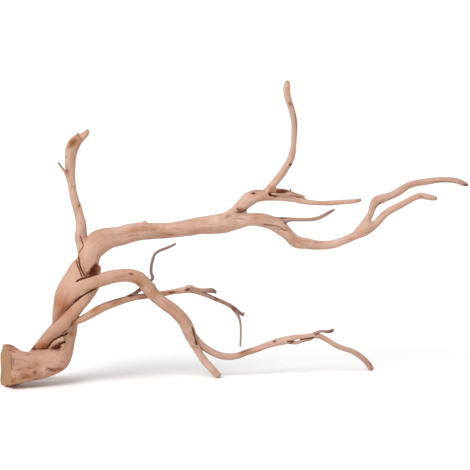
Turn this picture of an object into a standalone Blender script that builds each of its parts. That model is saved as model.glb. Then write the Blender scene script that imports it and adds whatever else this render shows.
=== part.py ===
"""Bogwood: a sawn-off, much-branched piece of aquarium driftwood, standing on its stump and roots."""

import math

import bmesh
import bpy
from mathutils import Matrix, Vector

# Driving dimensions, in millimetres and degrees
OVERALL_LENGTH = 468.0
MIDDLE_DEPTH = 55.5
LOOKING_DOWN_DEG = 10.0
SAW_GAP = 0.3
SAWN_FACE_POINT = (6.2, 3.0)
SAWN_FACE_TURN_DEG = 17.0
RING_SPACING = 6.0
MM = 0.001

# Each limb is a line of stations: distance right of the sawn end, height as seen from slightly
# above, distance back from the front, and radius. Height as seen is turned into true height below.
TRUNK = [
    (-12, 19.5, -3, 21.5), (0, 20.3, 1, 21.5), (9, 22.4, 4, 21.2), (17, 21.2, 6, 17.6),
    (26, 21.3, 9, 14.9), (38, 23, 12, 14.3), (50, 26, 16, 13.5), (58.5, 30, 20, 12.2),
    (62.5, 38, 25, 11), (64, 47, 29, 10.9), (64.6, 58, 32, 12.2), (65, 70, 35, 13), (66, 80, 36, 13),
    (68.5, 90, 36, 14), (72, 100, 36, 14.8), (77, 110, 37, 13.8), (82, 119, 40, 12), (85.5, 127, 44, 9),
    (85, 136, 47, 7.4),
]
HEEL = [(-8, 7, 3, 8), (4, 7.2, 4, 8), (14, 9.4, 6, 7), (26, 14.5, 10, 6), (38, 20, 13, 5)]
LEG = [
    (17, 3, 48, 9), (26, 16.5, 47.5, 9.2), (33, 26.5, 45, 8.8), (39, 36.5, 38, 8.2), (46, 46, 30, 7.8),
    (54, 56, 22, 7.6), (62, 64, 18, 7.4), (69, 71, 17, 6.6), (77, 80, 19, 5.3), (84, 88, 24, 4.8),
    (90.5, 95, 32, 4.5), (95, 103, 38, 4.8), (96, 112, 40, 5), (95.3, 119, 40, 4.6), (93, 124, 39, 3),
]
STUB = [(50, 36, 26, 4), (53, 43, 22, 3.4), (58, 47.5, 18, 2.9), (64, 49.5, 16, 2.6)]
UPRIGHT = [
    (85, 128, 46, 8), (84, 136, 49, 7.6), (82, 143, 52, 7), (81.5, 152, 54, 5.8), (81.3, 158, 55, 5),
    (80.8, 165, 56, 4.7), (79.3, 172, 57, 4.3), (77.4, 180, 58, 4.3), (74.8, 188, 59, 4.1),
    (72.8, 197, 60, 3.8), (71.5, 206, 61, 4), (70, 214, 62, 4.9), (70, 222, 62, 5.3),
    (70.5, 230, 62, 5.5), (71.5, 238, 61, 6.1), (74, 244, 60, 6.2), (78, 248.6, 59, 5.6),
    (82.5, 252.2, 58, 4.6), (86.5, 256, 57, 2.9), (88.2, 258.2, 56, 1.8),
]
LOBE = [(80.5, 160, 53, 3.4), (79, 153, 51, 4), (78.6, 147, 50, 3.8), (81.5, 140, 49, 3)]
FINE_TWIG = [(69, 211, 60, 2.1), (66, 214.6, 58, 1.5), (62.6, 219.5, 56, 1.1), (58.3, 225.6, 54, 0.8)]
MAIN_ARM = [
    (86, 106, 38, 8.6), (88, 118, 38, 9), (89, 128, 39, 9.7), (92, 136, 41, 11.3),
    (97, 142.3, 43, 12.2), (104.5, 146.8, 45, 11.8), (112, 149.8, 47, 10.6), (120, 152, 49, 9.5),
    (136, 156.2, 52, 8.9), (152, 157.2, 55, 8.2), (168, 157.6, 58, 8.1), (184, 160, 61, 8.1),
    (200, 162.5, 64, 8.4), (214, 163.6, 66, 9), (226, 164, 68, 8.3),
]
NUB = [(143, 160, 52, 3.5), (144.3, 165, 51, 2), (145, 167.5, 51, 0.8)]
UPPER_FORK = [
    (222, 166, 68, 7.2), (230, 172, 69, 7), (236, 177.3, 70, 6.5), (242, 183.8, 71, 6.7),
    (249, 188.7, 72, 6.9), (257, 191.5, 74, 6.4), (265, 192.3, 75, 5.5),
]
TALL_TWIG = [
    (258, 189, 75, 5), (264, 194.6, 76, 4.5), (269.3, 200.6, 76, 4), (274.3, 205.8, 76, 3.9),
    (279, 211.3, 75, 4), (284.3, 218, 74, 3.8), (289.2, 226, 72, 4), (292.2, 234, 70, 3.8),
    (293.5, 244, 67, 3.4), (294.4, 254, 64, 3.4), (294.4, 264, 61, 3.3), (292.8, 274, 58, 3.2),
    (290.2, 283, 56, 3.3), (287.6, 291, 54, 3.3), (286.8, 298, 52, 3.6), (287, 304, 51, 3.5),
    (287.6, 307.2, 50, 2.4),
]
REACHING_TWIG = [
    (260, 190, 75, 5), (267, 190.5, 76, 4), (274, 190, 78, 3), (284, 189.7, 80, 2.9),
    (294, 188.9, 82, 3), (302, 187, 84, 2.9), (310, 185.6, 86, 2.5), (320, 184.6, 88, 2.4),
    (330, 185, 90, 2.4), (340, 186, 92, 2.2), (350, 186.8, 94, 2.2), (357, 187.6, 96, 2.1),
    (361, 188.2, 97, 1.4),
]
BARK_FLAKE = [
    (268, 195, 75, 2.4), (274, 197.3, 76, 2), (281, 198, 77, 2.1), (288, 196.5, 78, 2.3),
    (295, 193.7, 80, 2.3), (301, 191, 82, 2), (305, 189, 83, 1.2),
]
LOWER_FORK = [
    (214, 163.5, 66, 8.5), (226, 164, 68, 8), (238, 166, 69, 6.7), (250, 169, 70.5, 5.7),
    (262, 168, 73, 6.4), (272, 165, 76, 6.7), (281, 160.4, 79, 6.9), (289, 153.3, 81, 6.1),
    (296, 146.8, 83, 6.1), (306, 144.6, 85, 5.5), (318, 142.9, 88, 4.8), (332, 143.8, 91, 4.2),
    (344, 147.8, 93, 4), (354, 152.2, 95, 4.2), (362, 157.2, 97, 5), (367, 163, 98, 4.2),
]
SIDE_TWIG = [
    (274, 167, 77, 4), (284, 169.2, 79, 2.3), (294, 169.3, 81, 1.8), (306, 169, 84, 1.8),
    (314, 169.5, 86, 1.8), (321, 171.5, 88, 1.8), (328, 175.3, 90, 1.8), (334.5, 178.8, 92, 0.9),
]
FAR_UPPER_TWIG = [
    (362, 157.5, 97, 5), (366, 166, 99, 3.9), (369, 173, 100, 3.3), (371, 179, 101, 3.4),
    (373.6, 186, 102, 4.9), (380, 189.3, 103, 4.6), (386, 190.8, 104, 3.9), (393, 193.3, 106, 3.5),
    (400, 197.3, 108, 3.7), (408, 202.3, 110, 3.4), (416, 204.8, 113, 3.1), (424, 206, 116, 3.1),
    (432, 207.3, 118, 3), (440, 208.2, 120, 2.9), (450, 208.1, 123, 2.9), (458, 206.7, 125, 2.8),
    (463.5, 204.5, 126, 2.6), (467.6, 203, 127, 1.5),
]
FAR_LOWER_TWIG = [
    (360, 156, 97, 4.5), (368, 159.5, 98, 5), (376, 164.8, 99, 4), (384, 173, 98, 3.4),
    (392, 178.6, 96, 3.3), (400, 182.6, 93, 3.2), (408, 187, 90, 3), (415, 190.8, 87, 3.1),
    (421, 192.4, 85, 3.1), (428, 191, 83, 2.9), (434, 190, 81, 2.5), (436.3, 189.5, 80, 1.8),
]
ARCH = [
    (68, 98, 31, 11), (78, 101, 28, 10.3), (87, 103.5, 27, 8.3), (96, 107.2, 28, 7.2),
    (106, 110.2, 31, 6.6), (116, 112.2, 34, 6.5), (126, 112.9, 37, 6.5), (135, 110.8, 40, 6.7),
    (142.4, 105.8, 42, 6.7), (149.4, 98.3, 44, 6.5), (156.2, 90.4, 46, 6.5), (164, 83.4, 48, 6.7),
    (172, 77.6, 50, 6.6), (179, 71.2, 52, 6.6), (184.6, 65, 53, 6.5), (188.6, 58, 54, 6),
    (191, 52, 55, 5.4),
]
ARCH_FOOT = [
    (188.5, 58, 54, 6), (191.2, 51, 55, 5), (194.2, 43.5, 56, 4.4), (197.4, 37, 57, 4.1),
    (200.8, 31, 57, 4), (205.4, 25, 58, 4.1), (210.4, 19.5, 58, 4.1), (215.3, 14.6, 58, 3.8),
    (219.6, 12, 58, 2.6),
]
RUNNER = [
    (186, 63, 56, 5), (189.5, 56, 58, 5), (194.4, 50.5, 60, 4.8), (200.3, 45, 61, 4.3),
    (207.3, 39.8, 63, 3.8), (216, 34.1, 65, 3.5), (226, 31.8, 67, 3.1), (237, 32.5, 69, 3.1),
    (247, 35.8, 72, 3.2), (258, 39.7, 74, 3.2), (267, 43, 76, 3.2), (278, 46.2, 78, 3.7),
    (287, 48.3, 80, 4), (296, 50.8, 82, 2.6), (304, 51.4, 84, 2.5), (312, 52.2, 86, 2.7),
    (320, 51.6, 88, 2.7), (328, 47.5, 89, 2.7), (336, 42.6, 90.5, 2.6), (344, 39.4, 92.5, 2.4),
    (351, 37.2, 94.5, 2.5), (358.2, 33.3, 96.5, 2.6), (364.4, 28.2, 98.5, 2.6),
    (369.2, 22.3, 100.5, 2.6), (371.2, 18.6, 101.5, 2.5),
]
SLIT_STRAND = [
    (285, 46.5, 80, 2.4), (292, 44.6, 81, 1.5), (300, 45.3, 83, 1.2), (307, 48, 84.5, 1.3),
    (313, 51, 86, 1.6),
]
CURL_TWIG = [
    (314, 53.5, 86, 1.9), (318, 56.7, 87, 1.5), (323, 57.2, 88, 1.4), (328, 56.2, 89, 1.7),
    (332, 57.3, 90, 1.7), (333.6, 58.8, 90, 0.9),
]
SIDE_BRANCH = [
    (66, 66, 20, 6), (73, 67, 18, 4.6), (80, 68, 18, 3.3), (88, 72, 20, 3.6), (96, 76.8, 24, 4),
    (104, 80.8, 29, 4), (112, 84, 34, 3.7), (120, 86.7, 39, 3.4), (128, 89, 44, 3.2),
    (136, 90.8, 49, 3), (144, 91.8, 53, 2.8), (152, 92.9, 57, 2.7), (160, 94.1, 59, 2.7),
    (168, 95.2, 60, 2.7), (176, 97, 60, 2.8), (184, 98.4, 61, 3.1), (190, 98.8, 61, 3.2),
]
DROOPING_TWIG = [
    (190, 98.2, 61, 3.1), (199, 95.6, 62, 2.5), (208, 92.2, 63, 2.1), (216, 88.6, 64, 2.1),
    (224, 85.4, 65, 2), (232, 80.2, 66, 2), (238, 75.6, 67, 1.6), (243.8, 72.4, 68, 1.1),
]
BROKEN_TWIG = [
    (187, 100.5, 61, 2.2), (191, 101.2, 60, 1.8), (196, 99.2, 60, 1.5), (203, 97.8, 60, 1.5),
    (209, 98.1, 60, 1.7), (213, 98, 60, 1.7), (215.8, 96.2, 60, 1),
]
BARB = [(242, 73.4, 67.6, 1.2), (244.6, 75.6, 67.6, 0.7)]
HANGING_TWIG = [
    (233, 79, 66, 1.7), (237, 74.5, 66, 1.6), (239.8, 68, 66, 1.2), (240.8, 60, 65, 1),
    (240.7, 51, 64, 0.9), (240.3, 41.4, 63, 0.9),
]
HOOKED_TWIG = [
    (128, 90.5, 44, 2.3), (134, 94, 47, 1.9), (140, 98.5, 51, 1.8), (146, 103, 54, 1.7),
    (150.5, 107.2, 54, 1.6), (152.7, 110.5, 54, 1.7), (151.2, 115, 54, 1.5), (151.3, 122, 54, 1.5),
    (153.2, 130, 54, 1.4), (155.3, 134.3, 54, 1.4), (160, 137.5, 54, 1.4), (166.3, 139.8, 53, 1.4),
    (172, 142.3, 52, 1.3), (176, 144.6, 52, 0.8),
]


def place(station):
    """True position of a station, in millimetres about the middle of the piece."""
    right, seen_height, back = station[:3]
    tilt = math.radians(LOOKING_DOWN_DEG)
    height = (seen_height - back * math.sin(tilt)) / math.cos(tilt)
    return Vector((right - OVERALL_LENGTH / 2, back - MIDDLE_DEPTH, height))


def sweep_line(stations, spacing):
    """Smooth line of (position, radius) through the stations, one point about every spacing."""
    places = [place(s) for s in stations]
    radii = [s[3] for s in stations]
    places = [places[0] * 2 - places[1]] + places + [places[-1] * 2 - places[-2]]
    radii = [radii[0]] + radii + [radii[-1]]
    line = []
    for k in range(1, len(places) - 2):
        steps = max(1, round((places[k + 1] - places[k]).length / spacing))
        for n in range(steps):
            t = n / steps
            weights = (
                (-t + 2 * t * t - t**3) / 2,
                (2 - 5 * t * t + 3 * t**3) / 2,
                (t + 4 * t * t - 3 * t**3) / 2,
                (t**3 - t * t) / 2,
            )
            point = sum((places[k - 1 + i] * w for i, w in enumerate(weights)), Vector())
            radius = sum(radii[k - 1 + i] * w for i, w in enumerate(weights))
            line.append((point, radius))
    line.append((places[-2], radii[-2]))
    return line


def cut_line(stations, first=None, last=None):
    """The smooth line between two stations, squared off with half the saw gap at each cut."""
    spacing = min(RING_SPACING, max(4.0, stations[len(stations) // 2][3] * 1.6))
    low = 0 if first is None else first
    high = len(stations) - 1 if last is None else last
    line = sweep_line(stations[low:high + 1], spacing)
    if first is not None:
        run = (place(stations[first + 1]) - place(stations[first - 1])).normalized()
        cut, radius = line[0]
        line[0] = (cut + run * SAW_GAP / 2, radius)
        line.insert(1, (cut + run, radius))
    if last is not None:
        run = (place(stations[last + 1]) - place(stations[last - 1])).normalized()
        cut, radius = line[-1]
        line[-1] = (cut - run, radius)
        line.append((cut - run * SAW_GAP / 2, radius))
    return line


def tube(name, line, resolution):
    """A tube with closed ends along a line of (position, radius), as a mesh object."""
    curve = bpy.data.curves.new(name, "CURVE")
    curve.dimensions = "3D"
    curve.bevel_depth = 1.0
    curve.bevel_resolution = resolution
    curve.use_fill_caps = True
    spline = curve.splines.new("POLY")
    spline.points.add(len(line) - 1)
    for point, (position, radius) in zip(spline.points, line):
        point.co = (*(position * MM), 1.0)
        point.radius = radius * MM
    guide = bpy.data.objects.new(name, curve)
    bpy.context.scene.collection.objects.link(guide)
    depsgraph = bpy.context.evaluated_depsgraph_get()
    mesh = bpy.data.meshes.new_from_object(guide.evaluated_get(depsgraph))
    body = bpy.data.objects.new(name, mesh)
    body.matrix_world = guide.matrix_world
    bpy.context.scene.collection.objects.link(body)
    bpy.data.objects.remove(guide)
    bpy.data.curves.remove(curve)
    soft = bmesh.new()
    soft.from_mesh(mesh)
    bmesh.ops.remove_doubles(soft, verts=soft.verts, dist=0.00001)
    bmesh.ops.recalc_face_normals(soft, faces=soft.faces)
    soft.to_mesh(mesh)
    soft.free()
    return body


def combine(body, tool, operation):
    """Join or cut a body with a tool, keep the result as its mesh, and remove the tool."""
    modifier = body.modifiers.new(operation.title(), "BOOLEAN")
    modifier.operation = operation
    modifier.object = tool
    modifier.solver = "EXACT"
    modifier.use_self = True
    depsgraph = bpy.context.evaluated_depsgraph_get()
    mesh = bpy.data.meshes.new_from_object(body.evaluated_get(depsgraph))
    body.modifiers.clear()
    body.data = mesh
    bpy.data.objects.remove(tool)


def fill_pockets(body):
    """Make the wood solid where limbs grown together closed around a hollow."""
    shell = bmesh.new()
    shell.from_mesh(body.data)
    waiting = set(shell.verts)
    skins = []
    while waiting:
        skin = [waiting.pop()]
        for vert in skin:
            joined = [edge.other_vert(vert) for edge in vert.link_edges]
            fresh = [other for other in joined if other in waiting]
            waiting.difference_update(fresh)
            skin.extend(fresh)
        skins.append(skin)
    outer = max(skins, key=len)
    pockets = [vert for skin in skins if skin is not outer for vert in skin]
    bmesh.ops.delete(shell, geom=pockets, context="VERTS")
    shell.to_mesh(body.data)
    shell.free()


def block(name, centre, size, turn_deg=0.0):
    """A box used to saw a flat face."""
    bpy.ops.mesh.primitive_cube_add(size=1)
    box = bpy.context.object
    box.name = name
    turn = Matrix.Rotation(math.radians(turn_deg), 4, "Z")
    box.data.transform(Matrix.Diagonal((*(Vector(size) * MM), 1.0)))
    box.data.transform(turn)
    box.location = Vector(centre) * MM
    box.hide_render = True
    box.display_type = "WIRE"
    for collection in list(box.users_collection):
        collection.objects.unlink(box)
    cutters.objects.link(box)
    bpy.context.view_layer.update()
    return box


def level_underside(body):
    """Wear the underside flat where the wood bears on the ground."""
    combine(body, block("ground_cutter", (0, 0, -20), (600, 300, 40)), "DIFFERENCE")


def wood(name, colour, roughness):
    """A plain material in the linear colour of that limb."""
    material = bpy.data.materials.new(name)
    material.use_nodes = True
    shader = material.node_tree.nodes["Principled BSDF"]
    shader.inputs["Base Color"].default_value = (*colour, 1.0)
    shader.inputs["Roughness"].default_value = roughness
    shader.inputs["Metallic"].default_value = 0.0
    return material


def limb(name, pieces, colour, resolution=3, roughness=0.8):
    """One sub-part: its tubes grown into a single body with its own material."""
    body = tube(name, pieces[0], resolution)
    for piece in pieces[1:]:
        fine = max(1, resolution - 1) if max(radius for _, radius in piece) < 4.5 else resolution
        combine(body, tube(name + "_shoot", piece, fine), "UNION")
    fill_pockets(body)
    body.name = name
    body.data.name = name
    body.data.materials.clear()
    body.data.materials.append(wood(name + "_wood", colour, roughness))
    for collection in list(body.users_collection):
        collection.objects.unlink(body)
    bogwood.objects.link(body)
    return body


def smooth_shading(body):
    """Shade the rounded sides smooth and keep the cut faces crisp."""
    body.data.shade_smooth()
    body.data.set_sharp_from_angle(angle=math.radians(50))


for old in list(bpy.data.objects):
    bpy.data.objects.remove(old)

bogwood = bpy.data.collections.new("bogwood")
cutters = bpy.data.collections.new("cutters")
bpy.context.scene.collection.children.link(bogwood)
bpy.context.scene.collection.children.link(cutters)

# The stump, the twisted trunk and the root strand that props it up from behind
trunk = limb(
    "trunk",
    [
        cut_line(TRUNK),
        cut_line(HEEL),
        cut_line(LEG),
        cut_line(STUB),
        cut_line(ARCH, last=4),
        cut_line(MAIN_ARM, last=5),
        cut_line(UPRIGHT, last=5),
        cut_line(LOBE),
        cut_line(SIDE_BRANCH, last=3),
    ],
    (0.53, 0.33, 0.23),
    resolution=4,
)
level_underside(trunk)

# The sawn end, a flat face across the stump
turn = math.radians(SAWN_FACE_TURN_DEG)
face_right = SAWN_FACE_POINT[0] - OVERALL_LENGTH / 2
face_back = SAWN_FACE_POINT[1] - MIDDLE_DEPTH
saw = block(
    "sawn_end_cutter",
    (face_right - 30 * math.cos(turn), face_back - 30 * math.sin(turn), 25),
    (60, 120, 90),
    SAWN_FACE_TURN_DEG,
)
combine(trunk, saw, "DIFFERENCE")

upright = limb("upright_branch", [cut_line(UPRIGHT, first=5), cut_line(FINE_TWIG)], (0.55, 0.35, 0.25))

main_arm = limb(
    "main_arm",
    [
        cut_line(MAIN_ARM, first=5),
        cut_line(NUB),
        cut_line(LOWER_FORK, last=3),
        cut_line(UPPER_FORK, last=4),
    ],
    (0.58, 0.37, 0.26),
    resolution=4,
)

upper_fork = limb(
    "upper_fork",
    [
        cut_line(UPPER_FORK, first=4),
        cut_line(TALL_TWIG, last=3),
        cut_line(REACHING_TWIG, last=6),
        cut_line(BARK_FLAKE),
    ],
    (0.54, 0.34, 0.24),
)
tall_twig = limb("tall_twig", [cut_line(TALL_TWIG, first=3)], (0.52, 0.33, 0.24), resolution=2)
reaching_twig = limb("reaching_twig", [cut_line(REACHING_TWIG, first=6)], (0.52, 0.35, 0.27), resolution=2)

lower_fork = limb(
    "lower_fork",
    [
        cut_line(LOWER_FORK, first=3),
        cut_line(SIDE_TWIG),
        cut_line(FAR_UPPER_TWIG, last=3),
        cut_line(FAR_LOWER_TWIG, last=3),
    ],
    (0.56, 0.36, 0.25),
)
far_upper_twig = limb("far_upper_twig", [cut_line(FAR_UPPER_TWIG, first=3)], (0.54, 0.35, 0.26), resolution=2)
far_lower_twig = limb("far_lower_twig", [cut_line(FAR_LOWER_TWIG, first=3)], (0.5, 0.32, 0.24), resolution=2)

arch = limb(
    "arch",
    [
        cut_line(ARCH, first=4),
        cut_line(ARCH_FOOT, last=3),
        cut_line(RUNNER, last=4),
    ],
    (0.55, 0.33, 0.23),
)
arch_foot = limb("arch_foot", [cut_line(ARCH_FOOT, first=3)], (0.48, 0.29, 0.22), resolution=2)
level_underside(arch_foot)
runner = limb(
    "runner",
    [cut_line(RUNNER, first=4), cut_line(SLIT_STRAND), cut_line(CURL_TWIG)],
    (0.55, 0.36, 0.27),
    resolution=2,
)
level_underside(runner)

side_branch = limb(
    "side_branch",
    [
        cut_line(SIDE_BRANCH, first=3),
        cut_line(HOOKED_TWIG),
        cut_line(BROKEN_TWIG),
        cut_line(DROOPING_TWIG, last=2),
    ],
    (0.48, 0.29, 0.2),
    resolution=2,
)
drooping_twig = limb(
    "drooping_twig",
    [cut_line(DROOPING_TWIG, first=2), cut_line(HANGING_TWIG), cut_line(BARB)],
    (0.4, 0.26, 0.2),
    resolution=2,
)

for body in bogwood.objects:
    smooth_shading(body)
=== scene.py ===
# Bogwood: a bare, sandblasted branch standing on its sawn stump and roots, seen from slightly above.
import math

import bpy
import numpy as np
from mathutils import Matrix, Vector


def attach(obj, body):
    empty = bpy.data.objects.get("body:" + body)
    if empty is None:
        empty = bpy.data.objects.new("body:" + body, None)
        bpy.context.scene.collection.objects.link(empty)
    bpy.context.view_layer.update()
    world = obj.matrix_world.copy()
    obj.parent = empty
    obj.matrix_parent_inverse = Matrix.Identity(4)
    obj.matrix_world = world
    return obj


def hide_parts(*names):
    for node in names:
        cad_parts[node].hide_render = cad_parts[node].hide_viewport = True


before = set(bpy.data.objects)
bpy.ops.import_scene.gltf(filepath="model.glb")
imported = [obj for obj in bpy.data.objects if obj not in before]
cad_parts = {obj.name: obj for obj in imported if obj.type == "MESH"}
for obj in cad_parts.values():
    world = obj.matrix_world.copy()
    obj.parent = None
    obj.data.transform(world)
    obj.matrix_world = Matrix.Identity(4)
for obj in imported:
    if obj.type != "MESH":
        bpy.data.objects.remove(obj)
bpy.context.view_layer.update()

bpy.ops.object.select_all(action="DESELECT")

# Lengths are in millimetres. A limb's stations say how far right of the sawn end, how high as seen,
# how far back, and the radius there.
wholePiece = {
    "length": 468.0, "middleDepth": 55.5, "lookingDown": 10.0, "groundLine": 388.0,
    "lineStep": 1.6,  # between the spots of a limb's line
    "thinnest": 0.5,
    "cutReserve": 2.6,  # grown past a saw cut, to be sawn off
    "cutReach": (1.7, 2.0),  # how far a cut reaches across a limb: times its radius, and more
    "cutSpan": (-3, 9),  # and along it
    "cutSkin": 1.5,  # and how far from the limb's own surface
    "voxel": 0.4,
    "pull": 1.5,  # the most that a vertex is pulled to the wood at once
    "relaxing": (0.5, 2),
    "sharpEdge": 55,
    "sawnFace": (0.97, 0.0003),  # faces that look this nearly the same way and lie this near, in metres
    "farAway": 99.0,  # stands for no limb or no mark in reach
}
limbHabit = {  # what a limb has unless it says otherwise
    "oval": 0.035, "flute": 0.022, "rib": 0.014, "lump": 0.05, "lumpSize": 2.6, "twist": 0.02,
    "blend": 2.5, "seam": 0.15, "seamFrom": (0, 1), "cutShift": 0,
}
sectionWaves = (("oval", 2, 1.0, 1.0), ("flute", 3, -1.6, 2.3), ("rib", 5, 2.1, 1.1))  # waves, turning, start
tilt = math.radians(wholePiece["lookingDown"])
viewLine = np.array((0.0, math.cos(tilt), -math.sin(tilt)))
limbs = {}


def smoothNoise(spots, size, seed):
    # value noise from -1 to 1, the same at the same place on every piece
    grid = spots / size + 31.7 * seed
    cell = np.floor(grid).astype(np.int64)
    part = grid - cell
    part = part * part * (3 - 2 * part)
    total = np.zeros(len(spots))
    for corner in range(8):
        step = np.array((corner & 1, corner >> 1 & 1, corner >> 2 & 1))
        i, j, k = (cell + step).T
        # the cell's numbers are mixed by large odd numbers, so that neighbours get unlike values
        mixed = (i * 73856093) ^ (j * 19349663) ^ (k * 83492791) ^ (seed * 2654435761)
        mixed = (mixed ^ (mixed >> 13)) & 0x7FFFFFFF
        mixed = (mixed * 1274126177) & 0x7FFFFFFF
        mixed = (mixed ^ (mixed >> 15)) & 0xFFFFF
        weight = np.where(step, part, 1 - part).prod(axis=1)
        total += weight * (mixed / 0xFFFFF * 2 - 1)
    return total


def fade(value, low, high):
    # a smooth step from 0 at low to 1 at high
    t = np.clip((value - low) / (high - low), 0, 1)
    return t * t * (3 - 2 * t)


def between(s, limb, key):
    # a limb's place or direction at each way along it
    return np.column_stack([np.interp(s, limb["along"], limb[key][:, k]) for k in range(3)])


def truePlace(right, seen, back):
    # a place as seen in the picture, turned into a true place
    height = (seen - back * math.sin(tilt)) / math.cos(tilt)
    return np.array((right - wholePiece["length"] / 2, back - wholePiece["middleDepth"], height))


def layLimb(name, settings):
    # a smooth line through the stations, with the up and side directions carried along it
    spots = np.array([(*truePlace(*s[:3]), s[3]) for s in settings["stations"]])
    spots = np.vstack([2 * spots[0] - spots[1], spots, 2 * spots[-1] - spots[-2]])
    rows, marks = [], []
    for k in range(1, len(spots) - 2):
        span = np.linalg.norm(spots[k + 1, :3] - spots[k, :3])
        steps = max(2, int(round(span / wholePiece["lineStep"])))
        marks.append(len(rows))
        for t in np.arange(steps) / steps:
            rows.append(0.5 * (2 * spots[k] + (spots[k + 1] - spots[k - 1]) * t
                               + (2 * spots[k - 1] - 5 * spots[k] + 4 * spots[k + 1] - spots[k + 2]) * t**2
                               + (3 * spots[k] - spots[k - 1] - 3 * spots[k + 1] + spots[k + 2]) * t**3))
    marks.append(len(rows))
    rows.append(spots[-2])
    rows = np.array(rows)
    line = rows[:, :3]
    along = np.concatenate([[0], np.cumsum(np.linalg.norm(np.diff(line, axis=0), axis=1))])
    ahead = np.gradient(line, axis=0)
    ahead /= np.linalg.norm(ahead, axis=1)[:, None]
    up = np.zeros_like(line)
    start = np.array((0.0, 0.0, 1.0)) if abs(ahead[0, 2]) < 0.9 else np.array((0.0, -1.0, 0.0))
    for k in range(len(line)):
        start = start - ahead[k] * start.dot(ahead[k])
        start /= np.linalg.norm(start)
        up[k] = start
    limbs[name] = {
        **limbHabit, "line": line, "radius": np.maximum(rows[:, 3], wholePiece["thinnest"]), "along": along,
        "ahead": ahead, "up": up, "side": np.cross(ahead, up), "marks": marks, "number": len(limbs), **settings,
    }


def limbField(limb, spots):
    # distance outside one limb, the outward direction, and where along and around it each spot lies
    line = limb["line"]
    far = (spots**2).sum(1)[:, None] - 2 * spots @ line.T + (line**2).sum(1)[None]
    near = far.argmin(1)
    slip = ((spots - line[near]) * limb["ahead"][near]).sum(1)
    s = np.clip(limb["along"][near] + slip, 0, limb["along"][-1])
    away = spots - between(s, limb, "line")
    a, b = (away * between(s, limb, "up")).sum(1), (away * between(s, limb, "side")).sum(1)
    radius = np.interp(s, limb["along"], limb["radius"])
    reach = np.maximum(np.linalg.norm(away, axis=1), 1e-6)
    angle = np.arctan2(b, a)
    number = limb["number"]
    shape = np.zeros(len(spots))
    for kind, waves, turning, start in sectionWaves:
        shape += limb[kind] * np.cos(waves * angle + turning * limb["twist"] * s + start * number)
    if "square" in limb:
        power, flat, run, turned = limb["square"]
        turned = angle - math.radians(turned)
        boxy = (abs(np.cos(turned)) ** power + abs(np.sin(turned)) ** power) ** (-1 / power)
        shape += (boxy - 1) * (1 - fade(s, flat, run))
    shape += limb["lump"] * smoothNoise(spots, limb["lumpSize"] * limb["radius"].max(), 3 + number % 5)
    return reach - radius * (1 + shape), away / reach[:, None], s, a, b


meeting = {  # where limbs grow together
    "room": 9, "seamWidth": 0.8, "seamDepth": 1.5,
    "grainChange": (0.1, 1.6),  # the grain is unclear where two limbs are this near to being equally close
    "grainStep": 173,  # sets one limb's grain apart from the next
}


def woodField(spots):
    # all limbs grown together: distance outside the wood, outward direction, crease, owner, grain and
    # how clear the grain is, from 0 where it changes over to the next limb's
    count = len(spots)
    field, closest, second = (np.full(count, wholePiece["farAway"]) for _ in range(3))
    out, grain = np.zeros((count, 3)), np.zeros((count, 3))
    crease = np.zeros(count)
    owner = np.full(count, -1)
    for limb in limbs.values():
        room = limb["radius"].max() + meeting["room"]
        low, high = limb["line"].min(0) - room, limb["line"].max(0) + room
        near = np.nonzero(((spots > low) & (spots < high)).all(1))[0]
        if len(near) == 0:
            continue
        new, newOut, s, a, b = limbField(limb, spots[near])
        old, blend = field[near], limb["blend"]
        keep = np.clip(0.5 + 0.5 * (new - old) / blend, 0, 1)
        grown = new * (1 - keep) + old * keep - blend * keep * (1 - keep)
        turned = newOut * (1 - keep)[:, None] + out[near] * keep[:, None]
        # the crease where two limbs meet: a groove in the surface, and also painted shade through the crease
        # tone and crease warmth
        seam = np.exp(-((new - old) / meeting["seamWidth"]) ** 2 - (grown / meeting["seamDepth"]) ** 2)
        crease[near] = np.maximum(crease[near], seam * limb["seam"] * fade(s, *limb["seamFrom"]))
        field[near] = grown
        out[near] = turned / np.maximum(np.linalg.norm(turned, axis=1), 1e-6)[:, None]
        mine = new < closest[near]
        owner[near[mine]] = limb["number"]
        second[near] = np.where(mine, closest[near], np.minimum(second[near], new))
        closest[near[mine]] = new[mine]
        grain[near[mine]] = np.column_stack([s + meeting["grainStep"] * limb["number"], a, b])[mine]
    return field, out, crease, owner, grain, fade(second - closest, *meeting["grainChange"])


def seenPlace(spots):
    # millimetres right and down in the front view, the way the marks are given
    back = spots[:, 1] + wholePiece["middleDepth"]
    right = spots[:, 0] + wholePiece["length"] / 2
    return right, wholePiece["groundLine"] - spots[:, 2] * math.cos(tilt) - back * math.sin(tilt)


def lineDistance(right, down, path):
    # distance in the picture to a drawn line, and how far along it from 0 to 1
    path = np.array(path, float)
    best = np.full(len(right), wholePiece["farAway"])
    where = np.zeros(len(right))
    for k in range(len(path) - 1):
        step = path[k + 1] - path[k]
        t = ((right - path[k, 0]) * step[0] + (down - path[k, 1]) * step[1]) / step.dot(step)
        t = np.clip(t, 0, 1)
        gap = np.hypot(right - path[k, 0] - t * step[0], down - path[k, 1] - t * step[1])
        where = np.where(gap < best, (k + t) / (len(path) - 1), where)
        best = np.minimum(best, gap)
    return best, where


def allMarks(kind):
    # the marks of one kind from every piece, so that they run on over a join
    return [mark for settings in allPieces for mark in settings.get(kind, [])]


def spotsNear(right, down, places, room):
    # the spots that come near a mark, as seen
    places = np.atleast_2d(places)[:, :2]
    low, high = places.min(0) - room, places.max(0) + room
    return np.nonzero((right > low[0]) & (right < high[0]) & (down > low[1]) & (down < high[1]))[0]


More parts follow.
